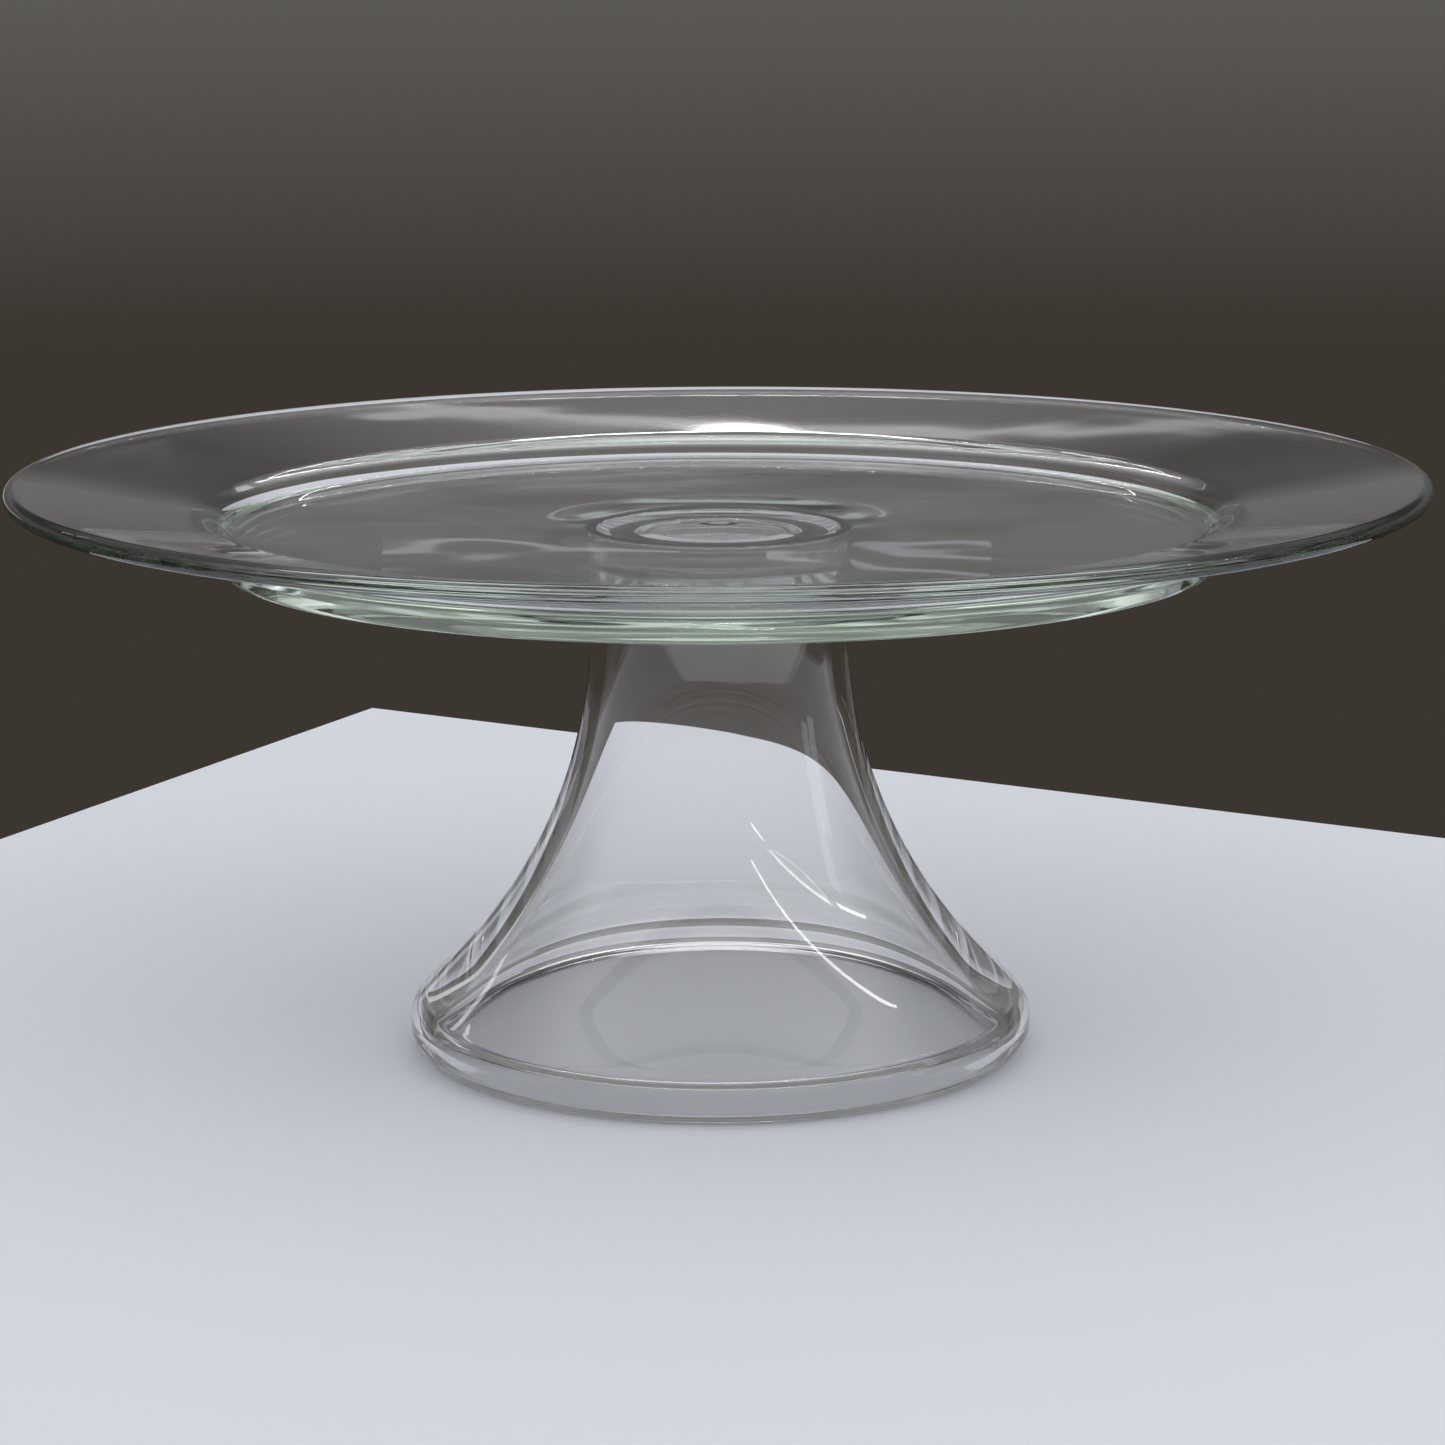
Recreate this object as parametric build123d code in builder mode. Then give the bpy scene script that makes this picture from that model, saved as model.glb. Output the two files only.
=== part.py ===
from build123d import *
import math
import os

# Clear glass pedestal cake stand: a round footed plate on a hollow, flared foot.
# The plate and the foot are two pressed glass pieces, joined by a thin clear bond.
# Units are millimetres. The origin is on the table, on the vertical axis of revolution.

# Overall size
plate_radius = 152.5          # 12 in plate, measured over the lip
overall_height = 127.5        # table to the top of the lip
foot_height = 108.2           # table to the top of the foot
bond_thickness = 0.3          # clear bond between the foot and the plate

# Plate
lip_radius = 2.0              # the lip is a full round bead
floor_thickness = 8.0         # flat middle of the plate
well_radius = 105.0           # where the floor meets the step up to the flange
well_corner_rounding = 5.0    # concave corner at the edge of the floor
step_radius = 110.8           # where the step meets the flange
step_height = 3.8             # rise of the step above the floor
step_rounding = 9.0           # soft convex corner between the step and the flange
base_radius = 106.9           # flat underside, out to its lower edge
base_edge_rounding = 0.4      # lower edge of the heel
heel_radius = 108.3           # top of the short heel
heel_height = 3.2             # heel, up to the steeper wall under the flange
heel_rounding = 1.2           # slight turn between the heel and that wall
under_radius = 111.0          # where the wall meets the underside of the flange
under_height = 8.0            # height of that corner above the flat underside
under_rounding = 7.0          # concave corner under the flange

# Foot
foot_radius = 68.2            # widest part of the skirt
neck_radius = 27.9            # narrowest part of the neck
neck_height = 95.0            # height of the narrowest part
flare_radius = 107.0          # one long arc, from the top of the foot down to the flare
flare_angle = 44.0            # slope at the foot of that arc, measured from the vertical
shoulder_radius = 7.0         # convex shoulder between the flare and the rim
neck_wall = 3.6               # wall of the neck
inner_flare_gain = 3.0        # radius that the inner arc gains over an even wall
inner_bend_height = 74.0      # below this height a flatter inner arc thickens the wall
inner_corner = (62.0, 6.3)    # inside corner above the rim, as radius and height
inner_corner_rounding = 2.0
rim_curl_radius = 6.0         # outer curl of the rim, down to the resting ring
rim_inner_radius = 60.4       # the inside of the rim leans in to this radius
rim_edge_rounding = 0.3       # inner edge of the resting ring
crown_thickness = 5.0         # closed top of the foot, under the plate
crown_corner_radius = 6.0     # rounded inner corner under the crown

# Bond
bond_radius = 28.0            # a little inside the outer edge of the foot's top

# Derived sizes of the plate
floor_bottom = foot_height + bond_thickness
floor_top = floor_bottom + floor_thickness
lip_centre = (plate_radius - lip_radius, overall_height - lip_radius)
step_top = (step_radius, floor_top + step_height)
under_corner = (under_radius, floor_bottom + under_height)
heel_top = (heel_radius, floor_bottom + heel_height)

# Derived sizes of the foot
flare_turn = math.radians(flare_angle)
inner_neck_radius = neck_radius - neck_wall
inner_flare_radius = flare_radius + neck_wall + inner_flare_gain
inner_bend_turn = math.asin((neck_height - inner_bend_height) / inner_flare_radius)
inner_bend_slope = (math.sin(inner_bend_turn), -math.cos(inner_bend_turn))
rest_outer = foot_radius - rim_curl_radius
hollow_top = foot_height - crown_thickness


def tangent_point(centre, radius, point, side):
    """Touching point on a circle of the line from an outside point; side is +1 or -1."""
    dx = point[0] - centre[0]
    dy = point[1] - centre[1]
    turn = side * math.acos(radius / math.hypot(dx, dy))
    angle = math.atan2(dy, dx) + turn
    return (centre[0] + radius * math.cos(angle), centre[1] + radius * math.sin(angle))


def flare_point(neck, radius, height):
    """Point at a given height on the flare arc that is narrowest at the neck."""
    rise = height - neck_height
    return (neck + radius - math.sqrt(radius ** 2 - rise ** 2), height)


def flare_end(neck, radius):
    """Lower end of a flare arc, where its slope reaches the flare angle."""
    reach = neck + radius * (1 - math.cos(flare_turn))
    return (reach, neck_height - radius * math.sin(flare_turn))


def shoulder_top(end, radius, reach):
    """Upper end of a shoulder arc that leads from the flare's slope to a vertical wall at reach."""
    run = reach - radius * (1 - math.cos(flare_turn))
    return (run, end[1] - (run - end[0]) / math.tan(flare_turn))


# Plate: floor, step, sloping flange and lip on top; wall, heel and flat base below
upper_touch = tangent_point(lip_centre, lip_radius, step_top, -1)
lower_touch = tangent_point(lip_centre, lip_radius, under_corner, 1)
lip_tip = (plate_radius, lip_centre[1])

with BuildPart() as cake_plate:
    with BuildSketch(Plane.XZ):
        with BuildLine():
            FilletPolyline(
                (0, floor_top), (well_radius, floor_top), step_top, upper_touch,
                radius=(well_corner_rounding, step_rounding)
            )
            ThreePointArc(upper_touch, lip_tip, lower_touch)
            FilletPolyline(
                lower_touch, under_corner, heel_top, (base_radius, floor_bottom), (0, floor_bottom),
                radius=(under_rounding, heel_rounding, base_edge_rounding)
            )
            Line((0, floor_bottom), (0, floor_top))
        make_face()
    revolve(axis=Axis.Z)
cake_plate.part.label = "cake_plate"

# Foot: outer wall, rounded rim, then the thicker inner wall and the closed crown
outer_top = flare_point(neck_radius, flare_radius, foot_height)
outer_end = flare_end(neck_radius, flare_radius)
outer_shoulder = shoulder_top(outer_end, shoulder_radius, foot_radius)
shoulder_centre = (foot_radius - shoulder_radius, outer_shoulder[1]
                   - shoulder_radius * math.sin(flare_turn))
inner_bend = flare_point(inner_neck_radius, inner_flare_radius, inner_bend_height)
inner_top = flare_point(inner_neck_radius, inner_flare_radius, hollow_top)

with BuildPart() as pedestal_foot:
    with BuildSketch(Plane.XZ):
        with BuildLine():
            RadiusArc(outer_top, outer_end, -flare_radius)
            Line(outer_end, outer_shoulder)
            RadiusArc(outer_shoulder, (foot_radius, shoulder_centre[1]), shoulder_radius)
            Line((foot_radius, shoulder_centre[1]), (foot_radius, rim_curl_radius))
            RadiusArc((foot_radius, rim_curl_radius), (rest_outer, 0), rim_curl_radius)
            Line((rest_outer, 0), (rim_inner_radius, 0))
            Line((rim_inner_radius, 0), inner_corner)
            TangentArc(inner_bend, inner_corner, tangent=inner_bend_slope)
            RadiusArc(inner_bend, inner_top, inner_flare_radius)
            Line(inner_top, (0, hollow_top))
            Line((0, hollow_top), (0, foot_height))
            Line((0, foot_height), outer_top)
        make_face()
        crown_corner = vertices().filter_by(
            lambda v: abs(v.Y - hollow_top) < 0.01 and v.X > 1
        )
        fillet(crown_corner, radius=crown_corner_radius)
        wall_corner = vertices().filter_by(lambda v: abs(v.Y - inner_corner[1]) < 0.01 and v.X < 63)
        fillet(wall_corner, radius=inner_corner_rounding)
        rim_edge = vertices().filter_by(lambda v: abs(v.X - rim_inner_radius) < 0.01)
        fillet(rim_edge, radius=rim_edge_rounding)
    revolve(axis=Axis.Z)
pedestal_foot.part.label = "pedestal_foot"

# Bond: a thin clear disc that fills the joint
with BuildPart() as bond_layer:
    with BuildSketch(Plane.XY.offset(foot_height)):
        Circle(bond_radius)
    extrude(amount=bond_thickness)
bond_layer.part.label = "bond_layer"

os.makedirs("parts", exist_ok=True)
export_step(cake_plate.part, "parts/cake_plate.step")
export_step(pedestal_foot.part, "parts/pedestal_foot.step")
export_step(bond_layer.part, "parts/bond_layer.step")
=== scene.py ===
import math

import bmesh
import bpy
from mathutils import Matrix, Vector, noise


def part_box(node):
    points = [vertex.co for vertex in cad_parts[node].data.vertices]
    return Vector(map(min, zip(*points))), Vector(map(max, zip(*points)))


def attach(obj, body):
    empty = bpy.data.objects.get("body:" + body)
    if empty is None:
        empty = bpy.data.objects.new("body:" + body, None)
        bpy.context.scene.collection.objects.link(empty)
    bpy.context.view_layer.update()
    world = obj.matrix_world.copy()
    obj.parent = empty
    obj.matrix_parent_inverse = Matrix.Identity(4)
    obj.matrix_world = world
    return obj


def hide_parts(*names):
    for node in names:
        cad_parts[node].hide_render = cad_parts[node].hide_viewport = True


# Clear glass pedestal cake stand: the looks. Metres, Z up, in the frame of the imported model.

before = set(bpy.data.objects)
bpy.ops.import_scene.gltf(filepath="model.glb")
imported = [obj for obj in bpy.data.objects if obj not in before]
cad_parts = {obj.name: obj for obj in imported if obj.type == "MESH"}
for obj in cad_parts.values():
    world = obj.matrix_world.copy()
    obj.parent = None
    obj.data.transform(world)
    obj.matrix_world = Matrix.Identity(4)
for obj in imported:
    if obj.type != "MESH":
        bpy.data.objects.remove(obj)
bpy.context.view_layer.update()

MM = 0.001

# Sizes read from the frame
plate_low, plate_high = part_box("cake_plate")
foot_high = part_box("pedestal_foot")[1]
PLATE_RADIUS = plate_high.x
PLATE_TOP = plate_high.z
PLATE_BOTTOM = plate_low.z
FOOT_RADIUS = foot_high.x
FOOT_TOP = foot_high.z

# Section of the plate: its corners as radius and height, and how far each is rounded
FLOOR_THICKNESS = 8.0 * MM
FLOOR_TOP = PLATE_BOTTOM + FLOOR_THICKNESS
LIP_RADIUS = 2.0 * MM
WELL_RADIUS = 105.0 * MM
WELL_CORNER = (WELL_RADIUS, FLOOR_TOP)
WELL_CORNER_RADIUS = 5.0 * MM
STEP_TOP = (110.8 * MM, FLOOR_TOP + 3.8 * MM)
STEP_TOP_RADIUS = 9.0 * MM
UNDER_CORNER = (111.0 * MM, PLATE_BOTTOM + 8.0 * MM)
UNDER_CORNER_RADIUS = 7.0 * MM
HEEL_TOP = (108.3 * MM, PLATE_BOTTOM + 3.2 * MM)
HEEL_TOP_RADIUS = 1.2 * MM
HEEL_EDGE = (106.9 * MM, PLATE_BOTTOM)
HEEL_EDGE_RADIUS = 0.4 * MM

# Unevenness of the pressed plate
WAVE_LENGTH = 50.0 * MM
FINE_WAVE_LENGTH = 0.42 * WAVE_LENGTH
FINE_WAVE_SHARE = 0.35
FLOOR_WAVE = 0.12 * MM
FLANGE_WAVE = 0.05 * MM
FLANGE_RISE = 8.0 * MM             # rise of the middle of the section, from the floor to the lip
FLANGE_START = (100.0 * MM, 118.0 * MM)
LIP_CALM = (16.0 * MM, 4.0 * MM)   # the waves fade out between these distances from the edge
JOINT_CALM = (30.0 * MM, 45.0 * MM)    # and under the plate they fade out towards the joint
DISH_DEPTH = 0.35 * MM
DISH_EDGE = (26.0 * MM, 40.0 * MM)
TOP_SEED = 3.7
BASE_SEED = 21.3
FINE_SEED = 5

# Section of the foot: the outer wall, then the inner one, from the neck down to the rim
NECK_RADIUS = 27.9 * MM
NECK_HEIGHT = 95.0 * MM
FLARE_RADIUS = 107.0 * MM
FLARE_ANGLE = math.radians(44.0)
SHOULDER_RADIUS = 7.0 * MM
NECK_WALL = 3.6 * MM
INNER_FLARE_RADIUS = 113.6 * MM
INNER_BEND_HEIGHT = 74.0 * MM      # below this height a flatter inner arc thickens the wall
INNER_CORNER = (62.0 * MM, 6.3 * MM)
INNER_CORNER_RADIUS = 2.0 * MM
RIM_CURL_RADIUS = 6.0 * MM
RIM_INSIDE = 60.4 * MM
RIM_EDGE_RADIUS = 0.3 * MM
CROWN_THICKNESS = 5.0 * MM
CROWN_CORNER_RADIUS = 6.0 * MM
POINT_GAP = 0.2 * MM               # least height between a rounded corner and the next point of the wall

# Joint
OPTICAL_LAP = 0.08 * MM        # the foot reaches this far into the plate, so that light crosses the joint
SEAM_TOP = PLATE_BOTTOM + OPTICAL_LAP
SEAM_RADIUS = 27.8 * MM
SEAM_WIDTH = 1.3 * MM
SEAM_DROP = 0.9 * MM
SEAM_DRIFT = 0.35 * MM         # how far the bead wanders, and below how much its width varies
SEAM_SWELL = 0.5
DRIFT_PATH = (6, 4.0)          # radius and height of the circle in the noise that each follows
SWELL_PATH = (14, 9.0)

AROUND = 720                   # faces around each turned piece


# ---------------------------------------------------------------- outlines

def arc(centre, radius, start, end, steps):
    """Points on an arc in the section plane, from one angle to the other, both included."""
    points = []
    for i in range(steps + 1):
        angle = start + (end - start) * i / steps
        points.append((centre[0] + radius * math.cos(angle), centre[1] + radius * math.sin(angle)))
    return points


def run(start, end, steps):
    """Points along a straight stretch, without its two ends."""
    points = []
    for i in range(1, steps):
        share = i / steps
        points.append((start[0] + (end[0] - start[0]) * share, start[1] + (end[1] - start[1]) * share))
    return points


def corner_arc(before, corner, after, radius, steps):
    """The arc of the given radius that rounds a corner between two straight stretches."""
    a = (Vector(before) - Vector(corner)).normalized()
    b = (Vector(after) - Vector(corner)).normalized()
    half = a.angle(b) / 2
    middle = Vector(corner) + (a + b).normalized() * (radius / math.sin(half))
    first = Vector(corner) + a * (radius / math.tan(half)) - middle
    last = Vector(corner) + b * (radius / math.tan(half)) - middle
    start = math.atan2(first.y, first.x)
    turn = math.atan2(last.y, last.x) - start
    turn = (turn + math.pi) % (2 * math.pi) - math.pi
    return arc(middle, radius, start, start + turn, steps)


def tangent_angle(centre, radius, point, side):
    """Angle on a circle where the line from an outside point touches it."""
    gap = Vector(point) - Vector(centre)
    return math.atan2(gap.y, gap.x) + side * math.acos(radius / gap.length)


def plate_outline():
    """Right half of the plate's section: floor, step, flange, lip, then back along the underside."""
    lip = (PLATE_RADIUS - LIP_RADIUS, PLATE_TOP - LIP_RADIUS)
    top_angle = tangent_angle(lip, LIP_RADIUS, STEP_TOP, -1) % (2 * math.pi)
    low_angle = tangent_angle(lip, LIP_RADIUS, UNDER_CORNER, 1)
    bead = arc(lip, LIP_RADIUS, top_angle, low_angle, 28)
    middle = (0, FLOOR_TOP)
    below = (0, PLATE_BOTTOM)
    well = corner_arc(middle, WELL_CORNER, STEP_TOP, WELL_CORNER_RADIUS, 8)
    step = corner_arc(WELL_CORNER, STEP_TOP, bead[0], STEP_TOP_RADIUS, 8)
    under = corner_arc(bead[-1], UNDER_CORNER, HEEL_TOP, UNDER_CORNER_RADIUS, 8)
    heel = corner_arc(UNDER_CORNER, HEEL_TOP, HEEL_EDGE, HEEL_TOP_RADIUS, 6)
    edge = corner_arc(HEEL_TOP, HEEL_EDGE, below, HEEL_EDGE_RADIUS, 6)
    points = [middle] + run(middle, well[0], 40) + well + run(well[-1], step[0], 4) + step
    points += run(step[-1], bead[0], 20) + bead
    points += run(bead[-1], under[0], 20) + under + run(under[-1], heel[0], 4) + heel
    points += run(heel[-1], edge[0], 4) + edge + run(edge[-1], below, 40) + [below]
    return points


def flare_arc(neck, radius, low, high, steps):
    """Points down a long flare arc that starts from a neck radius, between two angles."""
    centre = (neck + radius, NECK_HEIGHT)
    return arc(centre, radius, math.pi - high, math.pi + low, steps)


def arc_on(start, inward, end, steps):
    """Points on the arc that leaves start with its centre in the given direction and reaches end."""
    gap = Vector(end) - Vector(start)
    radius = gap.length_squared / (2 * gap.dot(Vector(inward)))
    centre = Vector(start) + Vector(inward) * radius
    first = Vector(start) - centre
    last = Vector(end) - centre
    from_angle = math.atan2(first.y, first.x)
    return arc(centre, radius, from_angle, from_angle - first.angle_signed(last), steps)


def foot_outline():
    """Right half of the foot's section: down the outside, round the rim, then up the inside."""
    crown = FOOT_TOP - CROWN_THICKNESS
    outer_rise = math.asin((SEAM_TOP - NECK_HEIGHT) / FLARE_RADIUS)
    inner_rise = math.asin((crown - NECK_HEIGHT) / INNER_FLARE_RADIUS)
    bend = math.asin((NECK_HEIGHT - INNER_BEND_HEIGHT) / INNER_FLARE_RADIUS)
    outer = flare_arc(NECK_RADIUS, FLARE_RADIUS, FLARE_ANGLE, outer_rise, 60)
    inner = flare_arc(NECK_RADIUS - NECK_WALL, INNER_FLARE_RADIUS, bend, inner_rise, 30)
    inner += arc_on(inner[-1], (math.cos(bend), math.sin(bend)), INNER_CORNER, 60)[1:]
    outer_corner = (FOOT_RADIUS, outer[-1][1] - (FOOT_RADIUS - outer[-1][0]) / math.tan(FLARE_ANGLE))
    outer_shoulder = corner_arc(outer[-1], outer_corner, (FOOT_RADIUS, 0), SHOULDER_RADIUS, 14)
    curl = (FOOT_RADIUS - RIM_CURL_RADIUS, RIM_CURL_RADIUS)
    inside = (RIM_INSIDE, 0)
    inner_edge = corner_arc((curl[0], 0), inside, INNER_CORNER, RIM_EDGE_RADIUS, 5)
    shoulder = corner_arc(inside, INNER_CORNER, inner[-2], INNER_CORNER_RADIUS, 8)
    below_corner = inner[6]
    ceiling = corner_arc(below_corner, inner[0], (0, crown), CROWN_CORNER_RADIUS, 12)
    kept = [p for p in inner if shoulder[-1][1] + POINT_GAP < p[1] < ceiling[0][1] - POINT_GAP]
    points = [(0, SEAM_TOP)] + run((0, SEAM_TOP), outer[0], 10) + outer
    points += run(outer[-1], outer_shoulder[0], 6) + outer_shoulder
    points += arc(curl, RIM_CURL_RADIUS, 0, -math.pi / 2, 18)
    points += run(points[-1], inner_edge[0], 3) + inner_edge + run(inner_edge[-1], shoulder[0], 3) + shoulder
    points += kept[::-1] + ceiling[::-1]
    points += run(ceiling[-1], (0, crown), 8) + [(0, crown)]
    return points


# ---------------------------------------------------------------- meshes

def turned(name, outline, shape=None, loop=False):
    """Closed mesh from an outline turned about Z. shape moves a point, given its angle."""
    mesh = bmesh.new()
    rings = []
    for radius, height in outline:
        if radius == 0:
            rings.append([mesh.verts.new((0, 0, height))])
            continue
        ring = []
        for i in range(AROUND):
            angle = 2 * math.pi * i / AROUND
            r, z = shape(radius, height, angle) if shape else (radius, height)
            ring.append(mesh.verts.new((r * math.cos(angle), r * math.sin(angle), z)))
        rings.append(ring)
    if loop:
        rings.append(rings[0])
    for upper, lower in zip(rings, rings[1:]):
        for i in range(AROUND):
            j = (i + 1) % AROUND
            if len(upper) == 1:
                mesh.faces.new((upper[0], lower[i], lower[j]))
            elif len(lower) == 1:
                mesh.faces.new((upper[i], lower[0], upper[j]))
            else:
                mesh.faces.new((upper[i], lower[i], lower[j], upper[j]))
    bmesh.ops.recalc_face_normals(mesh, faces=mesh.faces)
    data = bpy.data.meshes.new(name)
    mesh.to_mesh(data)
    mesh.free()
    for face in data.polygons:
        face.use_smooth = True
    piece = bpy.data.objects.new(name, data)
    bpy.context.scene.collection.objects.link(piece)
    return piece


# ---------------------------------------------------------------- materials

GLASS_IOR = 1.52
TINT_DENSITY = 10.0            # per metre of glass
PLATE_TINT = (0.79, 0.87, 0.785)
FOOT_TINT = (0.88, 0.87, 0.89)
BOND_TINT = (0.9, 0.92, 0.9)
PLATE_ROUGHNESS = 0.02


def glass(name, tint, roughness):
    """Clear glass with a faint tint that deepens with the length of the light's path through it."""
    material = bpy.data.materials.new(name)
    material.use_nodes = True
    nodes = material.node_tree.nodes
    links = material.node_tree.links
    shader = nodes["Principled BSDF"]
    shader.inputs["Base Color"].default_value = (1, 1, 1, 1)
    shader.inputs["Transmission Weight"].default_value = 1.0
    shader.inputs["IOR"].default_value = GLASS_IOR
    shader.inputs["Roughness"].default_value = roughness
    volume = nodes.new("ShaderNodeVolumeAbsorption")
    volume.inputs["Color"].default_value = (*tint, 1)
    volume.inputs["Density"].default_value = TINT_DENSITY
    links.new(volume.outputs["Volume"], nodes["Material Output"].inputs["Volume"])
    return material


# ---------------------------------------------------------------- pieces

def smooth(value, low, high):
    """0 below low, 1 above high, with an even change between."""
    share = min(max((value - low) / (high - low), 0), 1)
    return share * share * (3 - 2 * share)


def plate_shape(r, z, angle):
    """Slow unevenness of the plate, strongest on the floor, with a shallow dish over the foot."""
    place = Vector((r * math.cos(angle), r * math.sin(angle), 0))
    middle_line = PLATE_BOTTOM + FLOOR_THICKNESS / 2 + FLANGE_RISE * smooth(r, WELL_RADIUS, PLATE_RADIUS)
    top = z > middle_line
    on_flange = smooth(r, *FLANGE_START)
    free = 1 - smooth(r, PLATE_RADIUS - LIP_CALM[0], PLATE_RADIUS - LIP_CALM[1])
    height = FLOOR_WAVE + (FLANGE_WAVE - FLOOR_WAVE) * on_flange
    seed = TOP_SEED if top else BASE_SEED
    wave = noise.noise(place / WAVE_LENGTH + Vector((0, 0, seed)))
    wave += FINE_WAVE_SHARE * noise.noise(place / FINE_WAVE_LENGTH + Vector((0, 0, seed + FINE_SEED)))
    if not top:
        free *= smooth(r, *JOINT_CALM)
    z += height * wave * free
    if top:
        z -= DISH_DEPTH * (1 - smooth(r, *DISH_EDGE))
    return r, z


def noise_around(angle, path):
    """Noise along a closed circle, so that it meets itself after one turn."""
    radius, height = path
    return noise.noise(Vector((radius * math.cos(angle), radius * math.sin(angle), height)))


def seam_shape(r, z, angle):
    """The bead of the joint wanders a little and varies in width."""
    width = 1 + SEAM_SWELL * noise_around(angle, SWELL_PATH)
    r = SEAM_RADIUS + (r - SEAM_RADIUS) * width + SEAM_DRIFT * noise_around(angle, DRIFT_PATH)
    z = SEAM_TOP + (z - SEAM_TOP) * width
    return r, z


def glass_piece(piece, node, material):
    """A clear piece of the stand, which stands for its CAD node."""
    piece.data.materials.append(material)
    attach(piece, "root")
    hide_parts(node)


plate = turned("cake_plate_glass", plate_outline(), plate_shape)
glass_piece(plate, "cake_plate", glass("plate_glass", PLATE_TINT, PLATE_ROUGHNESS))

foot = turned("pedestal_foot_glass", foot_outline())
glass_piece(foot, "pedestal_foot", glass("foot_glass", FOOT_TINT, 0))

seam_outline = []
for r, z in arc((SEAM_RADIUS, 0), SEAM_WIDTH, 0, -math.pi, 16):
    seam_outline.append((r, SEAM_TOP + z * SEAM_DROP / SEAM_WIDTH))
seam = turned("bond_seam", seam_outline, seam_shape, loop=True)
glass_piece(seam, "bond_layer", glass("clear_bond", BOND_TINT, 0))


# ---------------------------------------------------------------- stage

def plain(name, colour, roughness):
    """Plain matt finish for the table."""
    material = bpy.data.materials.new(name)
    material.use_nodes = True
    shader = material.node_tree.nodes["Principled BSDF"]
    shader.inputs["Base Color"].default_value = (*colour, 1)
    shader.inputs["Roughness"].default_value = roughness
    return material


TABLE_CORNER = Vector((-0.107, 0.387))
TABLE_LEFT = Vector((-0.085, -0.180)).normalized()
TABLE_RIGHT = Vector((0.301, -0.188)).normalized()
TABLE_REACH = 3.0
TABLE_THICKNESS = 0.03
TABLE_COLOUR = (0.72, 0.75, 0.80)
TABLE_ROUGHNESS = 0.6


def table_top():
    """A large plain slab with one corner behind the stand."""
    left = TABLE_CORNER + TABLE_LEFT * TABLE_REACH
    right = TABLE_CORNER + TABLE_RIGHT * TABLE_REACH
    corners = [TABLE_CORNER, left, left + TABLE_RIGHT * TABLE_REACH, right]
    mesh = bmesh.new()
    top = [mesh.verts.new((c.x, c.y, 0)) for c in corners]
    low = [mesh.verts.new((c.x, c.y, -TABLE_THICKNESS)) for c in corners]
    mesh.faces.new(top)
    mesh.faces.new(low[::-1])
    for i in range(4):
        mesh.faces.new((top[i], low[i], low[(i + 1) % 4], top[(i + 1) % 4]))
    bmesh.ops.recalc_face_normals(mesh, faces=mesh.faces)
    data = bpy.data.meshes.new("table_top")
    mesh.to_mesh(data)
    mesh.free()
    data.materials.append(plain("table_paint", TABLE_COLOUR, TABLE_ROUGHNESS))
    table = bpy.data.objects.new("table_top", data)
    bpy.context.scene.collection.objects.link(table)
    return table


table_top()


def panel(name, place, aim, size, glow, colour=(1, 1, 1), lean=0.0):
    """A soft rectangular lamp, given by how bright its face looks, which is seen only in the glass."""
    data = bpy.data.lights.new(name, "AREA")
    data.shape = "RECTANGLE"
    data.size, data.size_y = size
    data.energy = glow * math.pi * size[0] * size[1]
    data.color = colour
    lamp = bpy.data.objects.new(name, data)
    lamp.location = place
    lamp.rotation_euler = (Vector(aim) - Vector(place)).to_track_quat("-Z", "Y").to_euler()
    lamp.rotation_euler.rotate_axis("Z", math.radians(lean))
    lamp.visible_camera = False
    bpy.context.scene.collection.objects.link(lamp)
    return lamp


def tube(name, start, end, thickness, glow):
    """A straight fluorescent tube between two points, facing the stand."""
    start, end = Vector(start), Vector(end)
    middle = (start + end) / 2
    lamp = panel(name, middle, STAND_MIDDLE, ((end - start).length, thickness), glow)
    facing = (Vector(STAND_MIDDLE) - middle).normalized()
    along = (end - start).normalized()
    across = facing.cross(along).normalized()
    facing = along.cross(across)
    lamp.rotation_euler = Matrix((along, -across, -facing)).transposed().to_euler()


STAND_MIDDLE = (0, 0, 0.1)
COOL_WHITE = (0.93, 0.95, 1.0)
LAVENDER = (0.78, 0.82, 1.0)
PALE_LAVENDER = (0.85, 0.85, 1.0)

panel("ceiling_tube", (0.0, 1.446, 0.832), (0, 0.135, 0.122), (0.20, 0.005), 30)
panel("low_strip", (0.0, 1.05, 0.0133), (0, 0, 0.0133), (2.6, 0.005), 0.5, lean=2.5)
panel("low_panel", (-0.62, 1.05, 0.065), (-0.62, 0, 0.065), (0.72, 0.06), 0.5, lean=2.5)
panel("far_left", (-0.15, 2.5, 0.515), (-0.15, 0, 0.1), (0.24, 0.010), 0.30)
panel("far_right", (0.16, 2.5, 0.525), (0.16, 0, 0.1), (0.11, 0.010), 0.32, colour=PALE_LAVENDER)
panel("side_window", (1.5, -0.22, 0.40), STAND_MIDDLE, (0.16, 0.50), 1.6, colour=LAVENDER)
panel("back_window", (-1.2, 0.97, 0.78), STAND_MIDDLE, (0.05, 0.24), 3.0, colour=COOL_WHITE)
tube("front_tube", (0.60, -1.40, 0.85), (1.10, 0.10, 0.72), 0.014, 12)


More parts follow.
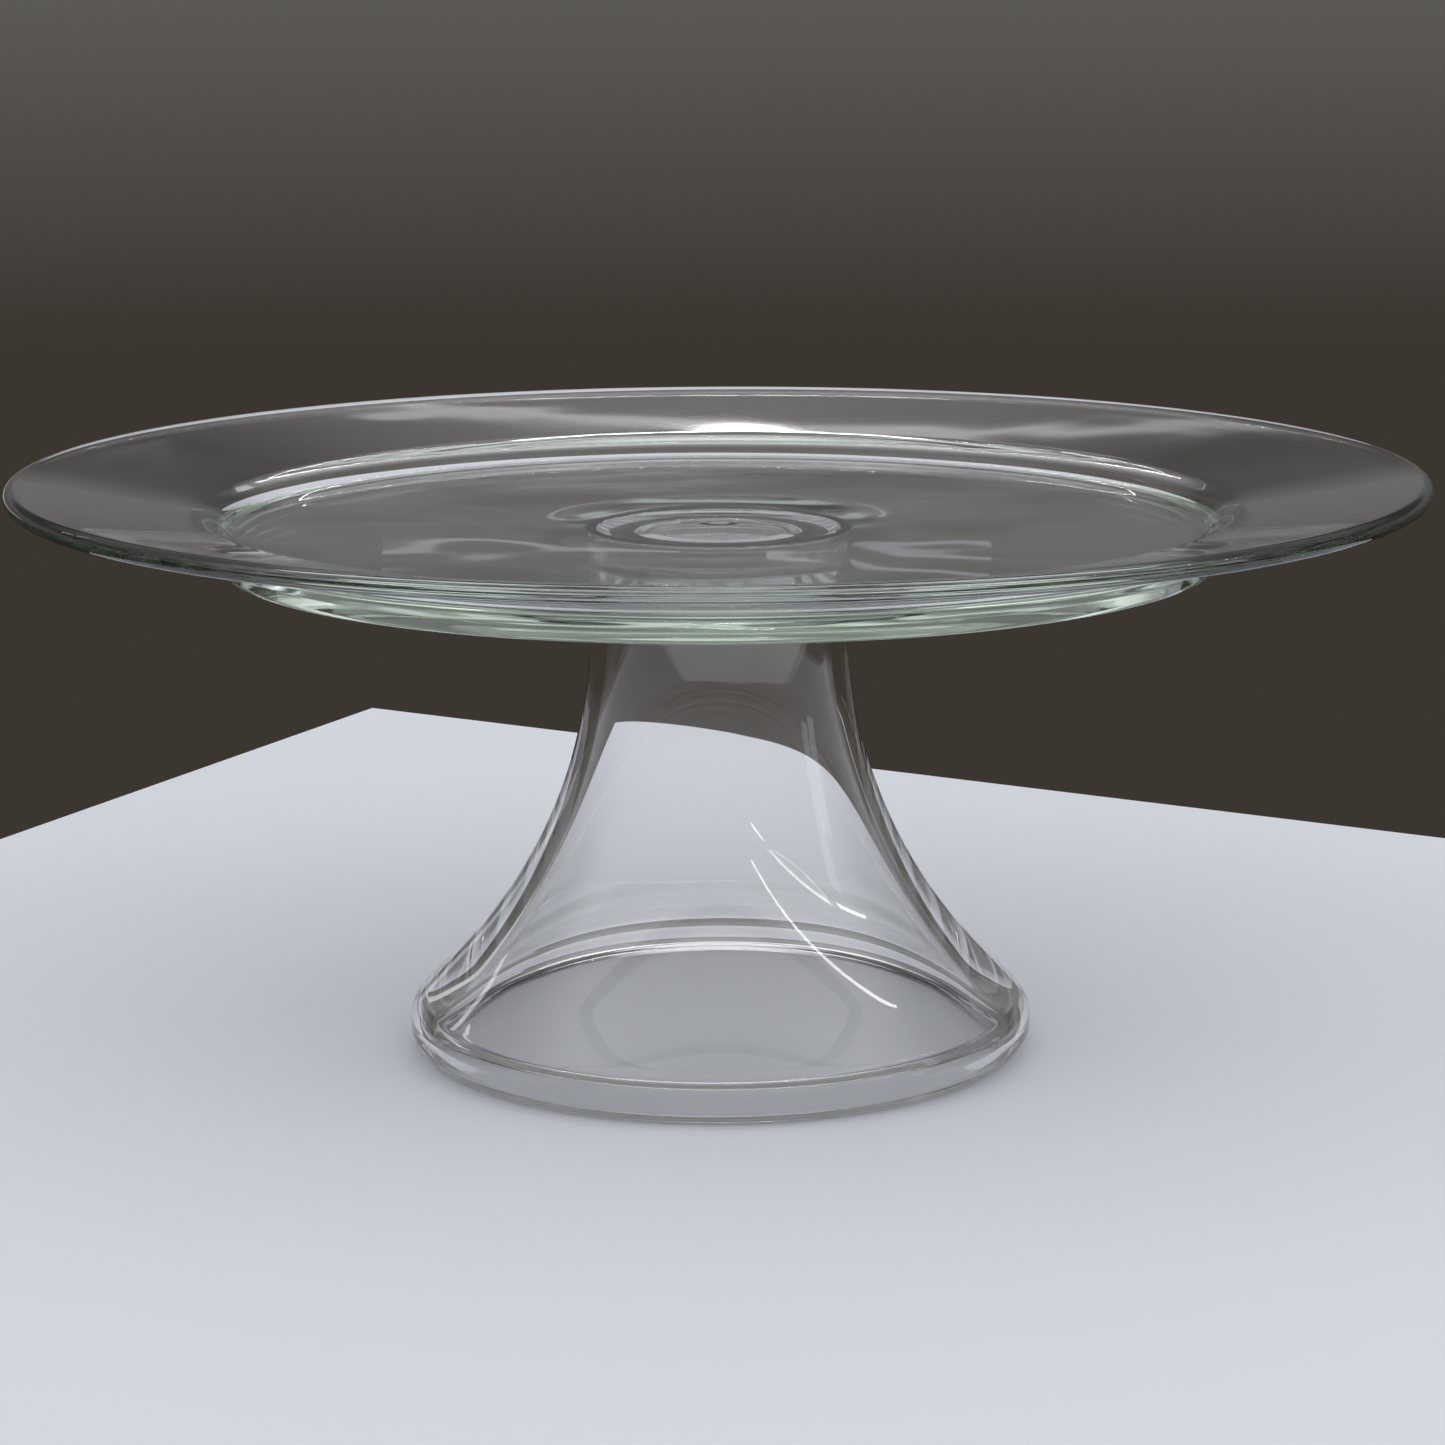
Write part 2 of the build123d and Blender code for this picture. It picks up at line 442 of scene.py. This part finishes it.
BROWN = (0.045, 0.037, 0.030)
ZENITH = (0.9, 0.91, 0.93)
DOME = {    # colour of the surroundings by elevation in degrees, on the camera's side and behind the stand
    "front": (
        (-90, BROWN), (-6, BROWN), (2, (0.25, 0.24, 0.23)), (15, (0.7, 0.7, 0.7)),
        (30, (1.2, 1.2, 1.22)), (55, (1.6, 1.6, 1.63)), (90, ZENITH),
    ),
    "back": (
        (-90, BROWN), (-6, BROWN), (2, (0.16, 0.155, 0.15)), (9, (0.22, 0.22, 0.22)),
        (12, (0.10, 0.10, 0.10)), (19, (0.09, 0.09, 0.09)), (30, (0.42, 0.42, 0.43)),
        (40, (0.45, 0.45, 0.46)), (60, (0.8, 0.81, 0.83)), (90, ZENITH),
    ),
}
SIDE_BLEND = (-0.15, 0.35)     # the two halves of the dome blend between these values of a direction's Y


def dome_ramp(nodes, links, height, stops):
    """Colour by elevation: the Z of a direction, from -1 to 1, looked up in a ramp."""
    lift = nodes.new("ShaderNodeMapRange")
    lift.inputs["From Min"].default_value = -1
    ramp = nodes.new("ShaderNodeValToRGB")
    links.new(height, lift.inputs["Value"])
    links.new(lift.outputs["Result"], ramp.inputs["Fac"])
    elements = ramp.color_ramp.elements
    elements[0].position = 0
    elements[1].position = 1
    for degrees, colour in stops:
        if degrees == -90:
            stop = elements[0]
        elif degrees == 90:
            stop = elements[len(elements) - 1]
        else:
            stop = elements.new((1 + math.sin(math.radians(degrees))) / 2)
        stop.color = (*colour, 1)
    return ramp.outputs["Color"]


def room():
    """Plain soft surroundings: dim behind the stand, a broad bright dome over and behind the camera."""
    world = bpy.data.worlds.new("room")
    world.use_nodes = True
    nodes = world.node_tree.nodes
    links = world.node_tree.links
    direction = nodes.new("ShaderNodeTexCoord")
    split = nodes.new("ShaderNodeSeparateXYZ")
    links.new(direction.outputs["Generated"], split.inputs["Vector"])
    facing = nodes.new("ShaderNodeMapRange")
    facing.interpolation_type = "SMOOTHSTEP"
    facing.inputs["From Min"].default_value = SIDE_BLEND[0]
    facing.inputs["From Max"].default_value = SIDE_BLEND[1]
    links.new(split.outputs["Y"], facing.inputs["Value"])
    mix = nodes.new("ShaderNodeMix")
    mix.data_type = "RGBA"
    links.new(facing.outputs["Result"], mix.inputs["Factor"])
    links.new(dome_ramp(nodes, links, split.outputs["Z"], DOME["front"]), mix.inputs["A"])
    links.new(dome_ramp(nodes, links, split.outputs["Z"], DOME["back"]), mix.inputs["B"])
    links.new(mix.outputs["Result"], nodes["Background"].inputs["Color"])
    bpy.context.scene.world = world


room()


# ---------------------------------------------------------------- camera

CAMERA_PLACE = Vector((0.0, -0.9317, 0.2575))
CAMERA_PITCH = math.radians(11.26)
CAMERA_YAW = math.radians(0.09)
CAMERA_ROLL = math.radians(0.23)
CAMERA_LENS = 108.5

camera_data = bpy.data.cameras.new("camera")
camera_data.lens = CAMERA_LENS
camera_data.sensor_width = 36.0
camera_data.clip_start = 0.01
camera = bpy.data.objects.new("camera", camera_data)
camera.location = CAMERA_PLACE
camera.rotation_euler = (math.pi / 2 - CAMERA_PITCH, CAMERA_ROLL, -CAMERA_YAW)
bpy.context.scene.collection.objects.link(camera)
bpy.context.scene.camera = camera

scene = bpy.context.scene
scene.view_settings.view_transform = "Standard"
scene.cycles.max_bounces = 32
scene.cycles.transmission_bounces = 32
scene.cycles.glossy_bounces = 16
scene.cycles.transparent_max_bounces = 16
scene.cycles.sample_clamp_indirect = 0
